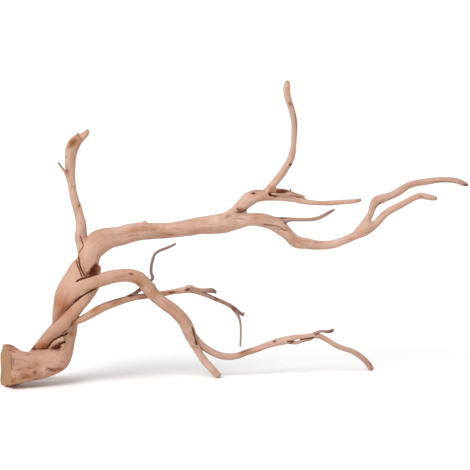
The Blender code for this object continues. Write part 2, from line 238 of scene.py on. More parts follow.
markRoom = {"cracksAndShade": 5, "bumps": 3, "stainsAndShade": 3.5}  # millimetres round a crack, times the size of the others
weather = {  # what covers the whole surface: a size or a stretch of the grain, a seed, an amount
    "swells": ((9, 11, 0.3), (3.5, 12, 0.14)),
    "ridges": (((0.07, 0.62, 0.62), 13, 0.2), ((0.16, 1.3, 1.3), 14, 0.1)),
    "checks": ((0.035, 0.5, 0.5), 15), "checksFrom": (0.58, 0.88), "checkDepth": 0.4, "checkTone": 0.16,
    # the crease tone is painted shade: it darkens the creases where limbs meet, where part of the darkness is a
    # real dark seam
    "creaseDepth": 0.9, "creaseShadeTone": 0.9, "thinCrease": 1.4,
    "warmPatches": (22, 16), "warmGrain": ((0.05, 0.3, 0.3), 17, 0.5), "warmth": (0.35, 0.25, 1.1),
    # painted shade: the crease and underside amounts tint the creases between limbs and the downward-facing
    # wood warmer and darker
    "creaseShadeWarmth": (0.35, 0.1, 0.8), "paintedUnderShade": (0.25, 0.1, 0.95),  # amount, from, to
    "deepTone": ((62, 60, 30), 95, 0.36),  # round this place, this far, this much
    "fullRadius": 8, "leastRelief": 0.15,  # thinner wood has less relief
    "facing": (0.0, 0.35),  # marks are left off where the wood turns away
    "ragged": (0.8, 0.3, 4, 18),  # a crack's width: usual, change, size, seed
    "wobble": ((0.45, 3, 19), (0.25, 1.2, 20)), "leastWobble": 0.5,  # a stain's edge
    "crackEnds": (-0.03, 0.12), "crackTone": (0.06, 0.22, 0.1), "darkening": 1.7,
}


def surfaceMarksAndShade(spots):
    # the wood's skin: outward direction, height change, then dark, warm and grey amounts, which also hold
    # painted shade, and the grain
    _, out, crease, owner, grain, clear = woodField(spots)
    right, down = seenPlace(spots)
    facing = fade(-(out @ viewLine), *weather["facing"])
    scale = np.array([limb["radius"].mean() for limb in limbs.values()])[owner]
    strength = np.clip(scale / weather["fullRadius"], weather["leastRelief"], 1)
    height = np.zeros(len(spots))
    for size, seed, amount in weather["swells"]:
        height += smoothNoise(spots, size, seed) * amount * strength
    for stretch, seed, amount in weather["ridges"]:
        height += smoothNoise(grain * stretch, 1, seed) * amount * strength * clear
    stretch, seed = weather["checks"]
    checks = fade(smoothNoise(grain * stretch, 1, seed), *weather["checksFrom"]) * strength * clear
    height -= checks * weather["checkDepth"]
    height -= crease * weather["creaseDepth"] * np.clip(strength * weather["thinCrease"], 0, 1)
    # painted shade: the creases where limbs meet are darkened, partly a real dark seam; the checks are the
    # wood's own
    dark = crease * weather["creaseShadeTone"] + checks * weather["checkTone"]
    stretch, seed, amount = weather["warmGrain"]
    patches = smoothNoise(spots, *weather["warmPatches"])
    patches += amount * clear * smoothNoise(grain * stretch, 1, seed)
    warm = np.zeros(len(spots))
    # painted shade: creases and undersides turn warmer and darker; the patches are the wood's own colour
    for kind, source in (("warmth", patches), ("creaseShadeWarmth", crease), ("paintedUnderShade", -out[:, 2])):
        amount, low, high = weather[kind]
        warm += amount * fade(source, low, high)
    place, reach, amount = weather["deepTone"]
    warm += amount * np.exp(-((np.linalg.norm(spots - truePlace(*place), axis=1) / reach) ** 2))
    grey = np.zeros(len(spots))
    for limb in limbs.values():
        if "grey" in limb:
            base, end, start = limb["grey"]
            reach = (grain[:, 0] - meeting["grainStep"] * limb["number"]) / limb["along"][-1]
            grey = np.where(owner == limb["number"], base + (end - base) * fade(reach, start, 1), grey)
    usual, change, size, seed = weather["ragged"]
    ragged = usual + change * smoothNoise(spots, size, seed)
    wobble = np.ones(len(spots))
    for change, size, seed in weather["wobble"]:
        wobble += change * smoothNoise(spots, size, seed)
    wobble = np.maximum(wobble, weather["leastWobble"])
    for path, width, depth in allMarks("cracksAndShade"):
        near = spotsNear(right, down, path, markRoom["cracksAndShade"])
        gap, where = lineDistance(right[near], down[near], path)
        line = np.exp(-((gap / width / ragged[near]) ** 2)) * facing[near]
        line *= fade(0.5 - abs(where - 0.5), *weather["crackEnds"])
        height[near] -= line * depth
        least, rise, bend = weather["crackTone"]
        dark[near] = np.maximum(dark[near], line * min(1.0, least + rise * depth + bend * depth**2))
    for at, size, lift, tone in allMarks("bumps"):
        near = spotsNear(right, down, at, markRoom["bumps"] * size)
        place = truePlace(at[0], wholePiece["groundLine"] - at[1], at[2])
        swell = np.exp(-((np.linalg.norm(spots[near] - place, axis=1) / size) ** 2))
        height[near] += swell * lift
        dark[near] = np.maximum(dark[near], swell * tone)
    for kind, at, size, angle, amount in allMarks("stainsAndShade"):
        near = spotsNear(right, down, at, markRoom["stainsAndShade"] * max(size))
        turn = math.radians(angle)
        u = (right[near] - at[0]) * math.cos(turn) - (down[near] - at[1]) * math.sin(turn)
        v = (right[near] - at[0]) * math.sin(turn) + (down[near] - at[1]) * math.cos(turn)
        patch = np.exp(-((u / size[0]) ** 2 + (v / size[1]) ** 2) * wobble[near]) * facing[near] * amount
        if kind == "warm":
            warm[near] += patch
        elif kind == "pale":
            warm[near] -= patch
            dark[near] *= 1 - patch
        else:
            tone = dark if kind == "dark" else grey
            tone[near] = np.maximum(tone[near], patch)
    dark = 1 - (1 - np.clip(dark, 0, 1)) ** weather["darkening"]
    return out, height, np.column_stack([dark, np.clip(warm, 0, 1), np.clip(grey, 0, 1)]), grain, clear


def activate(piece):
    bpy.ops.object.select_all(action="DESELECT")
    piece.select_set(True)
    bpy.context.view_layer.objects.active = piece


def cutPlace(limb, station):
    # where a limb is parted from its neighbour: way along, place, direction and radius
    s = limb["along"][limb["marks"][station]] + limb["cutShift"]
    place, ahead = between([s], limb, "line")[0], between([s], limb, "ahead")[0]
    return s, place, ahead / np.linalg.norm(ahead), np.interp(s, limb["along"], limb["radius"])


def drawRod(name, first=None, last=None):
    # one limb, or the stretch between two of its stations, as a round rod
    limb = limbs[name]
    low, high = 0.0, limb["along"][-1]
    if first is not None:
        low = cutPlace(limb, first)[0] - wholePiece["cutReserve"]
    if last is not None:
        high = cutPlace(limb, last)[0] + wholePiece["cutReserve"]
    pick = (limb["along"] >= low) & (limb["along"] <= high)
    line, radius = limb["line"][pick] * 0.001, limb["radius"][pick] * 0.001
    bpy.ops.curve.primitive_nurbs_path_add(location=(0, 0, 0))
    rod = bpy.context.object
    rod.data.splines.clear()
    spline = rod.data.splines.new("POLY")
    spline.points.add(len(line) - 1)
    spline.points.foreach_set("co", np.column_stack([line, np.ones(len(line))]).ravel())
    spline.points.foreach_set("radius", radius)
    rod.data.bevel_depth = 1.0
    rod.data.bevel_resolution = 4
    rod.data.use_fill_caps = True
    bpy.ops.object.convert(target="MESH")
    return bpy.context.object


def readPlaces(items, key="co"):
    places = np.empty(len(items) * 3)
    items.foreach_get(key, places)
    return places.reshape(-1, 3) * 1000


def writeSpots(piece, spots):
    piece.data.vertices.foreach_set("co", (spots / 1000).ravel())
    piece.data.update()


def pullToWood(piece):
    # the vertices brought onto the wood in two pulls
    spots = readPlaces(piece.data.vertices)
    for _ in range(2):
        field, out, *_ = woodField(spots)
        spots = spots - out * np.clip(field, -wholePiece["pull"], wholePiece["pull"])[:, None]
    return spots


def choose(piece, kind, chosen):
    # select the chosen faces or vertices and stay in edit mode
    bpy.ops.object.mode_set(mode="EDIT")
    bpy.ops.mesh.select_mode(type=kind)
    bpy.ops.mesh.select_all(action="DESELECT")
    bpy.ops.object.mode_set(mode="OBJECT")
    items = piece.data.polygons if kind == "FACE" else piece.data.vertices
    items.foreach_set("select", chosen)
    bpy.ops.object.mode_set(mode="EDIT")


def sawOff(piece, place, direction, limb=None, radius=0):
    # saw the piece square at a place and drop what lies beyond, all of it or one limb's end only
    faces = piece.data.polygons
    chosen = np.ones(len(faces), dtype=bool)
    if limb:
        centres = readPlaces(faces, "center")
        beyond = (centres - place) @ direction
        aside = np.linalg.norm(centres - place - beyond[:, None] * direction, axis=1)
        before, after = wholePiece["cutSpan"]
        chosen = (aside < radius) & (beyond > before) & (beyond < max(after, radius))
        near = np.nonzero(chosen)[0]
        chosen[near] = limbField(limb, centres[near])[0] < wholePiece["cutSkin"]
    choose(piece, "FACE", chosen)
    bpy.ops.mesh.bisect(plane_co=place * 0.001, plane_no=direction, use_fill=True,
                        clear_outer=True, threshold=1e-7)
    bpy.ops.mesh.select_all(action="DESELECT")
    bpy.ops.mesh.select_mode(type="FACE")
    bpy.ops.mesh.select_face_by_sides(number=4, type="GREATER")
    bpy.ops.mesh.quads_convert_to_tris(quad_method="BEAUTY", ngon_method="BEAUTY")
    bpy.ops.object.mode_set(mode="OBJECT")


def dropCrumbs(piece):
    # keep the one large skin: closed-off pockets and specks go
    mesh = piece.data
    root = np.arange(len(mesh.vertices))
    ends = np.empty(len(mesh.edges) * 2, dtype=np.int64)
    mesh.edges.foreach_get("vertices", ends)
    one, two = ends.reshape(-1, 2).T
    while True:
        low = np.minimum(root[one], root[two])
        before = root.copy()
        np.minimum.at(root, one, low)
        np.minimum.at(root, two, low)
        root = root[root]
        if (root == before).all():
            break
    names, sizes = np.unique(root, return_counts=True)
    if len(names) > 1:
        choose(piece, "VERT", root != names[sizes.argmax()])
        bpy.ops.mesh.delete(type="VERT")
        bpy.ops.object.mode_set(mode="OBJECT")


def growPiece(settings):
    # the rods of one piece fused into one skin, pulled to the wood, marked and sawn
    print("growing", settings["node"])
    rods = [drawRod(*span) for span in settings["grown"]]
    activate(rods[0])
    for rod in rods:
        rod.select_set(True)
    if len(rods) > 1:
        bpy.ops.object.join()
    piece = bpy.context.object
    piece.name = settings["piece"]
    remesh = piece.modifiers.new("remesh", "REMESH")
    remesh.mode = "VOXEL"
    remesh.voxel_size = settings.get("voxel", wholePiece["voxel"]) * 0.001
    bpy.ops.object.modifier_apply(modifier="remesh")
    dropCrumbs(piece)
    writeSpots(piece, pullToWood(piece))
    relax = piece.modifiers.new("relax", "SMOOTH")
    relax.factor, relax.iterations = wholePiece["relaxing"]
    bpy.ops.object.modifier_apply(modifier="relax")
    spots = pullToWood(piece)
    out, height, *_ = surfaceMarksAndShade(spots)
    writeSpots(piece, spots + out * height[:, None])
    for name, *stations in settings["grown"]:
        for station, sign in zip(stations, (-1, 1)):
            if station is not None:
                _, place, ahead, radius = cutPlace(limbs[name], station)
                times, more = wholePiece["cutReach"]
                sawOff(piece, place, ahead * sign, limbs[name], radius * times + more)
    if "sawn" in settings:
        place, direction = settings["sawn"]
        sawOff(piece, truePlace(*place), np.array(direction) / np.linalg.norm(direction))
    if settings.get("standing"):
        sawOff(piece, np.zeros(3), np.array((0.0, 0.0, -1.0)))
    dressPiece(piece, settings)


def dressPiece(piece, settings):
    # write the grain, the marks and the painted shade for the material, then shade smooth with crisp sawn edges
    mesh = piece.data
    _, _, tones, grain, clear = surfaceMarksAndShade(readPlaces(mesh.vertices))
    for name, kind, key, values in (("grainLine", "FLOAT_VECTOR", "vector", grain),
                                    ("woodMarksAndShade", "FLOAT_VECTOR", "vector", tones),
                                    ("grainClear", "FLOAT", "value", clear)):
        mesh.attributes.new(name, kind, "POINT").data.foreach_set(key, values.ravel())
    activate(piece)
    bpy.ops.object.shade_smooth_by_angle(angle=math.radians(wholePiece["sharpEdge"]))
    mesh.materials.clear()
    mesh.materials.append(bareWood)
    if "sawn" in settings:
        mesh.materials.append(sawnWood)
        place, direction = settings["sawn"]
        turn = Vector(direction).normalized()
        middle = Vector(truePlace(*place)) * 0.001
        alike, near = wholePiece["sawnFace"]
        for face in mesh.polygons:
            if face.normal.dot(turn) > alike and abs((face.center - middle).dot(turn)) < near:
                face.material_index = 1
    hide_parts(settings["node"])
    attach(piece, "root")
    print(piece.name, len(mesh.polygons), "faces")


def startMaterial(name, look):
    # a matt material, its nodes and the object's own coordinates
    material = bpy.data.materials.new(name)
    material.use_nodes = True
    tree = material.node_tree
    shader = tree.nodes["Principled BSDF"]
    shader.inputs["Roughness"].default_value = look["roughness"]
    shader.inputs["Specular IOR Level"].default_value = look["shine"]
    return material, tree, shader, tree.nodes.new("ShaderNodeTexCoord").outputs["Object"]


def addNode(tree, kind, **inputs):
    node = tree.nodes.new(kind)
    for name, value in inputs.items():
        node.inputs[name.replace("_", " ")].default_value = value
    return node


def readAttribute(tree, name, output):
    node = tree.nodes.new("ShaderNodeAttribute")
    node.attribute_name = name
    return node.outputs[output]


def fillSocket(tree, socket, value):
    # a socket is linked to another socket, or set to a number or a plain colour
    if isinstance(value, bpy.types.NodeSocket):
        tree.links.new(value, socket)
    else:
        socket.default_value = (*value, 1.0) if isinstance(value, tuple) else value


def mixColour(tree, factor, one, two):
    mix = tree.nodes.new("ShaderNodeMix")
    mix.data_type = "RGBA"
    mix.clamp_factor = True
    for number, value in ((0, factor), (6, one), (7, two)):
        fillSocket(tree, mix.inputs[number], value)
    return mix.outputs[2]


def ramp(tree, source, low, high):
    # a smooth step between two values of a socket
    step = addNode(tree, "ShaderNodeMapRange", From_Min=low, From_Max=high)
    step.interpolation_type = "SMOOTHSTEP"
    tree.links.new(source, step.inputs["Value"])
    return step.outputs["Result"]


def movedBy(tree, vector, operation, amount):
    # the coordinates stretched or shifted
    move = tree.nodes.new("ShaderNodeVectorMath")
    move.operation = operation
    move.inputs[1].default_value = amount
    tree.links.new(vector, move.inputs[0])
    return move.outputs["Vector"]


def scaledNoise(tree, vector, scale, detail, stretch=None):
    noise = addNode(tree, "ShaderNodeTexNoise", Scale=scale, Detail=detail, Roughness=0.6)
    tree.links.new(movedBy(tree, vector, "MULTIPLY", stretch) if stretch else vector, noise.inputs["Vector"])
    return noise.outputs["Fac"]


def multiplied(tree, source, amount):
    # a socket times a number or times another socket
    times = tree.nodes.new("ShaderNodeMath")
    times.operation = "MULTIPLY"
    fillSocket(tree, times.inputs[0], source)
    fillSocket(tree, times.inputs[1], amount)
    return times.outputs["Value"]


def bumped(tree, source, strength, distance, under=None):
    bump = addNode(tree, "ShaderNodeBump", Strength=strength, Distance=distance)
    tree.links.new(source, bump.inputs["Height"])
    if under is not None:
        tree.links.new(under, bump.inputs["Normal"])
    return bump.outputs["Normal"]


woodLook = {
    "pale": (0.635, 0.42, 0.33), "mid": (0.53, 0.33, 0.245), "streak": (0.385, 0.21, 0.145),
    "warm": (0.38, 0.15, 0.055), "darkStainAndShade": (0.17, 0.045, 0.018), "crack": (0.068, 0.011, 0.003),
    "grey": (0.20, 0.118, 0.10), "roughness": 0.82, "shine": 0.25,
    "cloudNoise": (42.0, 3.0), "speckNoise": (900.0, 2.0),  # scale, detail, stretch
    "fibreNoise": (1.0, 4.0, (0.05, 0.75, 0.75)), "hairNoise": (1.0, 3.0, (0.14, 2.6, 2.6)),
    "cloudEdges": (0.33, 0.68), "darkStainAndShadeEdges": (0.0, 0.6), "crackEdges": (0.45, 0.95),
    "fibres": (0.46, 0.74, 0.5), "hairs": (0.5, 0.8, 0.3), "specks": (0.6, 0.8, 0.22),  # edges, amount
    "fibreBump": (0.35, 0.0006), "speckBump": (0.12, 0.0003),  # strength, depth in metres
}


def makeBareWood(look):
    material, tree, shader, place = startMaterial("bareWood", look)
    grain = readAttribute(tree, "grainLine", "Vector")
    clear = readAttribute(tree, "grainClear", "Fac")
    split = tree.nodes.new("ShaderNodeSeparateXYZ")
    tree.links.new(readAttribute(tree, "woodMarksAndShade", "Vector"), split.inputs["Vector"])
    dark, warm, grey = split.outputs
    fibres = scaledNoise(tree, grain, *look["fibreNoise"])
    hairs = scaledNoise(tree, grain, *look["hairNoise"])
    specks = scaledNoise(tree, place, *look["speckNoise"])
    cloudy = ramp(tree, scaledNoise(tree, place, *look["cloudNoise"]), *look["cloudEdges"])
    colour = mixColour(tree, cloudy, look["pale"], look["mid"])
    for source, kind in ((fibres, "fibres"), (hairs, "hairs")):
        low, high, amount = look[kind]
        streaks = multiplied(tree, multiplied(tree, ramp(tree, source, low, high), amount), clear)
        colour = mixColour(tree, streaks, colour, look["streak"])
    # the warm amount holds the wood's warm patches and stains, and also painted shade in the creases and on the
    # undersides
    colour = mixColour(tree, warm, colour, look["warm"])
    colour = mixColour(tree, grey, colour, look["grey"])
    low, high, amount = look["specks"]
    colour = mixColour(tree, multiplied(tree, ramp(tree, specks, low, high), amount), colour, look["streak"])
    # the dark amount holds cracks, checks, hollows and stains, and also painted shade in the creases where
    # limbs meet and a few painted shadows
    for kind in ("darkStainAndShade", "crack"):
        colour = mixColour(tree, ramp(tree, dark, *look[kind + "Edges"]), colour, look[kind])
    tree.links.new(colour, shader.inputs["Base Color"])
    relief = bumped(tree, multiplied(tree, hairs, clear), *look["fibreBump"])
    tree.links.new(bumped(tree, specks, *look["speckBump"], relief), shader.inputs["Normal"])
    return material


sawnLook = {
    "pale": (0.41, 0.22, 0.115), "ring": (0.29, 0.14, 0.065), "smudge": (0.22, 0.155, 0.12),
    "roughness": 0.85, "shine": 0.2, "heart": (-0.2268, -0.052, 0.021), "ringsPerMetre": 420.0,
    "ringWaver": {"Distortion": 2.2, "Detail": 2.0, "Detail_Scale": 1.5}, "ringAmount": 0.4,
    "smudgeNoise": (90.0, 4.0), "smudgeEdges": (0.5, 0.72), "smudgeAmount": 0.8,
    "sawMarks": (1.0, 2.0, (300.0, 300.0, 2600.0)), "sawBump": (0.35, 0.0004),
}


def makeSawnWood(look):
    material, tree, shader, place = startMaterial("sawnWood", look)
    rings = addNode(tree, "ShaderNodeTexWave", Scale=look["ringsPerMetre"] / 6.28, **look["ringWaver"])
    rings.wave_type = "RINGS"
    rings.rings_direction = "SPHERICAL"
    tree.links.new(movedBy(tree, place, "SUBTRACT", look["heart"]), rings.inputs["Vector"])
    smudges = ramp(tree, scaledNoise(tree, place, *look["smudgeNoise"]), *look["smudgeEdges"])
    sawing = scaledNoise(tree, place, *look["sawMarks"])
    ringed = multiplied(tree, rings.outputs["Fac"], look["ringAmount"])
    colour = mixColour(tree, ringed, look["pale"], look["ring"])
    colour = mixColour(tree, multiplied(tree, smudges, look["smudgeAmount"]), colour, look["smudge"])
    tree.links.new(colour, shader.inputs["Base Color"])
    tree.links.new(bumped(tree, sawing, *look["sawBump"]), shader.inputs["Normal"])
    return material


trunk = {
    "piece": "trunkWood", "node": "trunk", "voxel": 0.68, "standing": True,
    "sawn": ((6.2, 20.7, 3.0), (-0.9563, -0.2924, 0.0)),  # place as a station, direction
    "limbs": {
        "trunk": {
            "blend": 3, "oval": 0.0, "flute": 0.015, "lump": 0.03, "square": (4.5, 24, 70, -12),
            "stations": [
            (-12, 20, -2, 18.6), (0, 20.4, 2, 18.4), (9, 20.8, 4.5, 17.6), (17, 20.9, 6.5, 16.5),
            (26, 21.5, 9, 14.9), (38, 23, 12, 14.3), (50, 26, 16, 13.5), (58.5, 30, 20, 12.2),
            (62.5, 38, 25, 11), (64, 47, 29, 10.9), (65, 58, 32, 12.3), (65.5, 70, 35, 13), (66, 80, 36, 13),
            (68.5, 90, 36, 14), (72.8, 100, 36, 14.1), (77.8, 110, 37, 13.1), (82, 119, 40, 12),
            (85.5, 127, 44, 9), (86, 136, 47, 6.8),
        ]},
        "crown": {"blend": 5, "stations": [
            (-10, 33, 6, 7), (1, 34.2, 8, 7.6), (8, 36, 9, 7.6), (12.5, 34.6, 10, 6.4), (18, 30.6, 11, 5),
        ]},
        "heel": {"blend": 4, "stations": [
            (-8, 7.2, 11, 9.6), (3, 7.4, 12, 9.6), (13, 9.4, 10, 7.6), (26, 14.5, 10, 6), (38, 20, 13, 5),
        ]},
        "leg": {"blend": 1.5, "seam": 1.0, "stations": [
            (17, 3, 48, 9), (26, 16.5, 47.5, 9.2), (33, 26.5, 45, 8.8), (39, 36.5, 38, 8.2),
            (46, 46, 30, 7.8), (54, 56, 22, 7.6), (62, 64, 18, 7.4), (69.3, 70.8, 17, 6.9),
            (77.3, 79.8, 19, 5.7), (84.4, 87.8, 24, 5.2), (90.8, 94.9, 32, 4.7), (95, 103, 38, 4.8),
            (96, 112, 40, 5), (95.3, 119, 40, 4.6), (93, 124, 39, 3),
        ]},
        "stub": {"blend": 1.5, "seam": 0.7, "stations": [
            (50, 36, 26, 4), (53, 43, 22, 3.4), (58, 47.5, 18, 2.9), (64, 49.5, 16, 2.6),
        ]},
    },
    "grown": [  # limb, stations that it is sawn at
        ("trunk",), ("crown",), ("heel",), ("leg",), ("stub",), ("arch", None, 4), ("mainArm", None, 5),
        ("upright", None, 5), ("lobe",), ("sideBranch", None, 3),
    ],
    "cracksAndShade": [  # line as seen (right, down), half width, depth
        ([(98, 288), (94, 289.5), (90, 291.4), (85, 294.4), (80, 297.4), (77, 300.5),
          (73, 304.5)], 0.85, 2.2),
        ([(75.5, 282), (78, 280.4), (82, 278.6), (86, 277.6), (90, 276.4), (95, 274.6),
          (99.5, 273.6)], 0.9, 2.2),
        ([(78.3, 255.5), (79, 260), (80, 266), (82, 271), (84.5, 275), (88, 277.2)], 0.75, 2.0),
        ([(76.2, 259.5), (77.5, 265), (79.5, 270), (81.3, 275), (83, 278)], 0.6, 1.5),
        ([(80.5, 235), (81.8, 240), (83.2, 244), (83, 247), (81.5, 249.2), (79.3, 252),
          (77.5, 256)], 0.7, 1.3),
        ([(83, 265.5), (83.5, 268), (85.5, 271.5), (88, 273)], 0.5, 0.5),
        ([(47.3, 348.6), (49, 346), (50.3, 343.3), (53, 340.6), (57, 338), (60, 336.6), (63.5, 335.6),
          (66, 334), (68.3, 332)], 0.8, 2.0),
        # this line paints a shadow in the gap where the leg comes out from behind the stump, over a groove
        ([(32, 350.3), (36, 349.4), (41, 348.9), (47, 348.5)], 0.6, 1.2),
        ([(51, 348.4), (55, 348.6), (58, 346.5), (60, 344), (63, 342.7), (66, 341.4)], 0.9, 2.0),
        ([(20.5, 373.8), (24, 374.5), (27.5, 375), (30, 375)], 0.7, 0.6),
        ([(15, 359.6), (21, 360.2), (27, 361.4)], 0.4, 0.4),
        ([(26.5, 367.2), (29.5, 367.8), (31.5, 369.2)], 0.45, 0.6),
        ([(16, 370), (19, 369.2), (22, 368.6)], 0.45, 0.5),
        ([(15.6, 374.5), (16, 377), (14.8, 379.6), (12.4, 381.6), (9, 383.6)], 0.6, 0.5),
        ([(46.6, 368.2), (50, 368.8), (53.4, 370.4), (57, 371.4)], 1.0, 0.75),
        ([(50.6, 325.4), (57, 319.6), (64, 313.4), (70, 307.6), (75, 302.8)], 0.8, 1.2),
        ([(35, 362), (38, 365.5), (42, 367.5)], 0.4, 0.3), ([(60, 361), (63, 362.4), (65, 361.6)], 0.5, 0.5),
        ([(17, 373), (20, 370), (24, 368.2), (29, 367.8), (33, 369.2)], 0.65, 0.35),
        ([(21, 377), (26, 377.6), (32, 376.4), (38, 376)], 0.55, 0.6),
        ([(44, 370), (50, 368.8), (56, 369.4), (62, 368.6)], 0.5, 0.8),
        ([(38, 362.6), (36.6, 366), (35.4, 370), (33, 373)], 0.6, 0.25),
        # this line paints a grey shadow streak beside the sawn face, over a shallow groove
        ([(9.8, 351), (11.6, 355.6), (12, 361), (11.2, 366), (12.4, 371)], 0.9, 0.55),
        ([(14, 356), (14.4, 361.6), (13.6, 367)], 0.6, 0.7),
        ([(2.6, 348.8), (7, 349.4), (12, 351.6), (17, 352.6)], 0.6, 0.7),
        ([(24, 354.6), (31, 353.8), (39, 354.4), (46, 353.4)], 0.45, 0.45),
        ([(56, 356), (61, 352.4), (65, 347.6), (68.4, 341)], 0.5, 0.45),
    ],
    "bumps": [  # place (right, down, back), reach, lift, darkness
        ((94.5, 271.5, 31), 4.2, -3.5, 1.0), ((96, 267.5, 32), 3.0, -2.0, 0.9),
        ((90, 274.5, 30), 3.0, -1.6, 0.8), ((86.5, 275.5, 29), 2.2, -1.0, 0.7),
        ((57.6, 347.2, 14), 3, -2.6, 0.9), ((53.5, 348.6, 15), 2.3, -1.6, 0.9),
        ((66, 333.5, 16), 2.6, -1.8, 0.8), ((100.3, 267.5, 40), 2.6, 1.5, 0.0), ((9, 345, -12), 5, 1.2, 0.0),
        ((71, 258, 33), 4, 0.6, 0.0), ((63, 309, 24), 1.6, -0.5, 0.15),
    ],
    "stainsAndShade": [  # kind, place as seen, reach along and across, turn, amount
        ("warm", (10, 350), (6, 2.2), 0, 0.75), ("dark", (9, 346), (8, 1.4), -10, 0.28),
        # the two grey patches here are a painted shadow streak beside the sawn face
        ("grey", (11.5, 363), (2.2, 6), 4, 0.6), ("grey", (11, 369.5), (2.4, 2), 0, 0.5),
        # the dark spot at (33.5, 348.5) is painted shadow in the gap where the leg comes out from behind the
        # stump
        ("warm", (41, 346), (6, 3), 10, 0.9), ("dark", (33.5, 348.5), (2.5, 2), 0, 0.4),
        ("warm", (35, 364), (6, 5), 20, 0.45), ("dark", (35, 372.5), (3, 2), 0, 0.28),
        ("dark", (51.5, 370), (5, 2.2), -14, 0.28), ("warm", (59, 369), (5, 2), 5, 0.7),
        ("warm", (71.5, 334), (2.6, 3), 0, 0.65), ("warm", (25, 377), (14, 3), 12, 0.55),
        ("dark", (4, 386), (4, 2), 10, 0.5), ("warm", (12, 380), (3, 5), 30, 0.4),
        ("pale", (43.5, 372), (1.5, 5), 0, 0.5), ("dark", (57, 347.3), (3.6, 1.8), 12, 0.9),
        ("pale", (58.5, 340.8), (5, 2.4), 28, 0.6), ("warm", (23, 370), (11, 5), -10, 0.4),
        ("warm", (97.8, 268.5), (1.8, 4), 0, 1.0), ("dark", (91, 273.5), (7, 3), 12, 0.45),
        ("warm", (64, 306), (9, 13), 30, 0.35), ("warm", (73.5, 322.5), (2.5, 3), 0, 0.6),
        ("warm", (97, 281), (3, 4), 0, 0.25), ("dark", (64.5, 309), (1.6, 1.2), 0, 0.2),
        # the dark band at (63.2, 310.4) is a painted shadow on the trunk behind the leg, along the crack
        ("warm", (83, 267), (4, 6), 0, 0.25), ("dark", (63.2, 310.4), (13, 3), 43, 0.24),
        ("warm", (58.5, 306), (4, 10), 10, 0.22),
    ],
}

arch = {
    "piece": "archWood", "node": "arch", "voxel": 0.5,
    "limbs": {
        "arch": {"blend": 6, "seam": 0.0, "stations": [
            (67, 85, 38, 8.5), (73, 94, 33, 9), (80, 100.3, 28.5, 9.6), (90, 105, 27.5, 7.9),
            (106, 109.8, 31, 6.3), (116, 112, 34, 6.2), (126, 112.8, 37, 6.3), (135.3, 111.3, 40, 6.4),
            (142.9, 106.6, 42, 6.5), (149.4, 98.3, 44, 6.5), (156.4, 90.7, 46, 6.3), (164.7, 84.1, 48, 6.4),
            (172.9, 78.5, 50, 6.3), (180.1, 71.9, 52, 6.4), (185.3, 65.2, 53, 6.5), (188.6, 58, 54, 6.2),
            (191, 52, 55, 5.6),
        ]},
    },
    "grown": [("arch", 4, None), ("archFoot", None, 3), ("runner", None, 4)],
    "cracksAndShade": [
        ([(192.2, 326.5), (193.3, 331), (194.8, 336), (196, 341), (197.6, 346)], 0.95, 1.5),
        ([(190, 346.2), (193, 347), (196.5, 347.2), (199, 348.2)], 0.55, 0.5),
        ([(136.5, 282.6), (140, 285.6), (144, 288.8), (147, 290.5)], 0.6, 0.4),
        ([(104, 282), (110, 280.2), (118, 279)], 0.5, 0.25),
        ([(160, 298), (168, 305), (176, 312)], 0.45, 0.3),
    ],
    "bumps": [
        ((153.6, 284.6, 43), 2.4, 1.2, 0.0), ((143.5, 272.5, 40), 3, 0.5, 0.0),
        ((196.8, 343, 52), 2, -1.5, 0.6),
    ],
    "stainsAndShade": [
        ("dark", (131.3, 274), (2.6, 1.1), -10, 0.4), ("warm", (141, 281), (9, 5), -35, 0.45),
        ("warm", (154, 292), (6, 9), -50, 0.5), ("warm", (172, 310), (14, 5), -42, 0.3),
        # the dark streak at (139, 284.5) is painted shade along the arch's lower edge
        ("dark", (139, 284.5), (5, 1.2), -38, 0.22), ("warm", (197, 330), (3, 6), -65, 0.3),
    ],
}

archFoot = {
    "piece": "archFootWood", "node": "arch_foot", "standing": True,
    "limbs": {
        "archFoot": {"blend": 2, "seam": 0.1, "cutShift": 4, "stations": [
            (188.5, 58, 54, 6), (191.1, 51, 55, 5.3), (194.2, 43.6, 56, 4.6), (197.8, 37.2, 57, 4),
            (201.4, 31.3, 57, 3.9), (206.1, 25.3, 58, 3.9), (211.1, 19.9, 58, 3.9), (215.9, 14.9, 58, 3.8),
            (220, 12, 58, 2.6),
        ]},
    },
    "grown": [("archFoot", 3, None)],
    "stainsAndShade": [
        ("grey", (220.5, 377), (3, 2.2), 0, 0.8), ("dark", (221, 378.2), (1.8, 1.2), 0, 0.6),
        ("warm", (215, 372), (4, 3), -40, 0.4),
    ],
}

